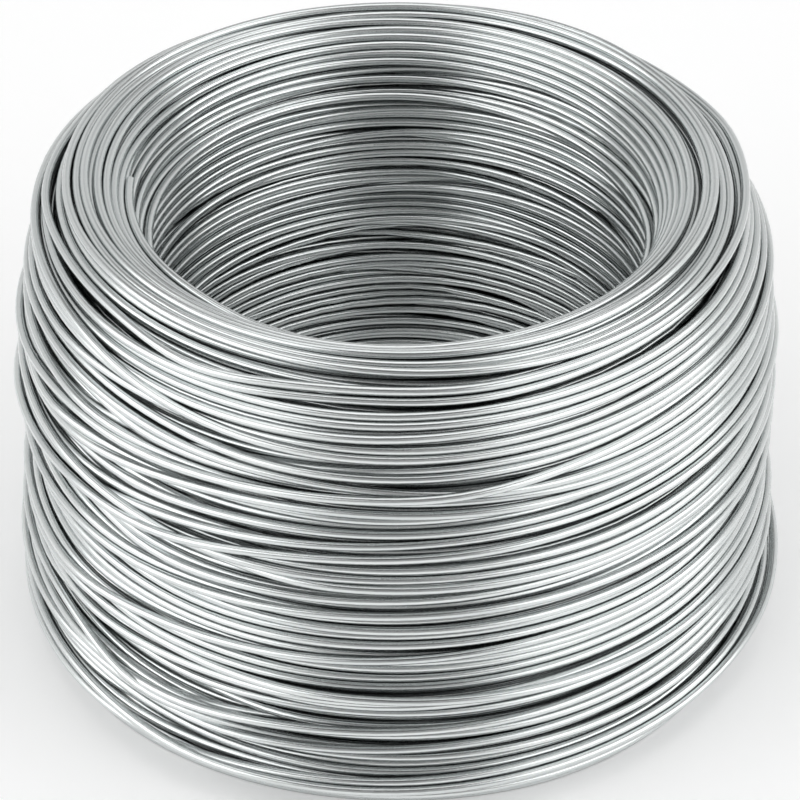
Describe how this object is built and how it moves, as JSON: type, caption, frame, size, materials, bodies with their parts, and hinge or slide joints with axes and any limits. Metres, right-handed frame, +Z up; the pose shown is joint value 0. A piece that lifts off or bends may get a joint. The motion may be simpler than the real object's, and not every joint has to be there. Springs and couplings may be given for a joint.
{
  "type": "coil of galvanized steel wire",
  "caption": "Ring-shaped coil of loosely wound bright galvanized steel wire with an open round bore, a domed top and a flat foot.",
  "frame": {"origin": "centre of the bore in the plane of the coil's foot, where it stands on the floor", "axes": "+Z up along the axis of the bore; the coil is a solid of revolution about it"},
  "size_m": [0.131, 0.131, 0.082],
  "materials": {
    "galvanized_wire": "bright drawn zinc coating, satin with sharp streaks along each turn"
  },
  "bodies": {
    "root": {"wire_coil": "galvanized_wire"}
  },
  "joints": []
}
